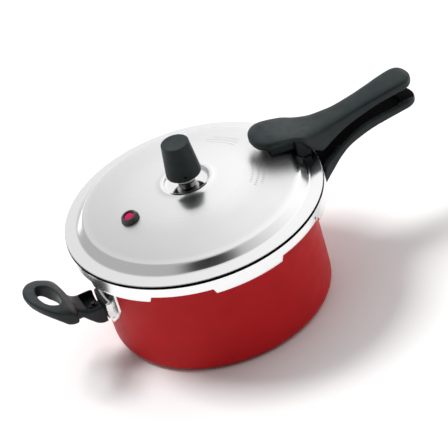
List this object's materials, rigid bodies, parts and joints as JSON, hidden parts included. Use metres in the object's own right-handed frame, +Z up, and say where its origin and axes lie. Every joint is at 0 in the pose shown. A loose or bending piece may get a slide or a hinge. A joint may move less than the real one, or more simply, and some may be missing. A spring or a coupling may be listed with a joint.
{
  "type": "stovetop pressure cooker",
  "caption": "Stovetop pressure cooker: a red pan with a bayonet-locked domed lid, a weight valve, a pressure indicator, a split long handle and a helper handle.",
  "frame": {"origin": "centre of the pan's flat underside, on the hob", "axes": "+Z up along the lid's axis; +X from the axis along the long handles, with the helper handle at -X"},
  "size_m": [0.402, 0.24, 0.1786],
  "materials": {
    "red_coating": "satin red coating outside, bare aluminium inside",
    "bright_aluminium": "polished",
    "black_moulding": "satin thermoset moulding",
    "plated_steel": "zinc plated",
    "vent_brass": "turned",
    "grey_rubber": "matte",
    "red_silicone": "matte",
    "dark_collar": "gloss",
    "indicator_red": "gloss",
    "weight_metal": "turned"
  },
  "bodies": {
    "pan": {"pan": "red_coating", "pan_handle_bracket": "plated_steel", "pan_handle_rivets": "bright_aluminium", "pan_handle": "black_moulding", "pan_handle_screw": "plated_steel", "pan_handle_washer": "plated_steel", "pan_handle_nut": "plated_steel", "helper_bracket": "bright_aluminium", "helper_rivets": "bright_aluminium", "helper_handle": "black_moulding", "helper_screw": "plated_steel", "helper_nut": "plated_steel"},
    "gasket": {"gasket": "grey_rubber"},
    "lid": {"lid": "bright_aluminium", "lid_handle_bracket": "plated_steel", "lid_handle_rivets": "bright_aluminium", "lid_handle": "black_moulding", "lid_handle_screw": "plated_steel", "lid_handle_washer": "plated_steel", "lid_handle_nut": "plated_steel", "stop_rivet": "plated_steel", "vent_tube": "vent_brass", "vent_seal": "grey_rubber", "vent_nut": "vent_brass", "indicator_collar": "dark_collar", "indicator_washer": "red_silicone", "indicator_nut": "plated_steel"},
    "weight_clip": {"weight_clip": "plated_steel"},
    "weight": {"weight_cap": "black_moulding", "weight_slug": "weight_metal", "weight_needle": "vent_brass"},
    "indicator": {"indicator_cap": "indicator_red", "indicator_stem": "plated_steel", "indicator_seal": "red_silicone", "indicator_clip": "plated_steel"}
  },
  "joints": [
    {"name": "lid_lift", "type": "slide", "parent": "pan", "child": "gasket", "axis": [0, 0, 1], "range_m": [0, 0.12]},
    {"name": "lid_turn", "type": "hinge", "parent": "gasket", "child": "lid", "pos_m": [0, 0, 0.11], "axis": [0, 0, -1], "range_deg": [0, 27]},
    {"name": "weight_lift", "type": "slide", "parent": "lid", "child": "weight_clip", "axis": [0, 0, 1], "range_m": [0, 0.02]},
    {"name": "weight_spin", "type": "hinge", "parent": "weight_clip", "child": "weight", "pos_m": [0, 0, 0.15], "axis": [0, 0, 1], "continuous": true},
    {"name": "indicator_rise", "type": "slide", "parent": "lid", "child": "indicator", "axis": [-0.2041, -0.036, 0.9783], "range_m": [0, 0.003]}
  ]
}
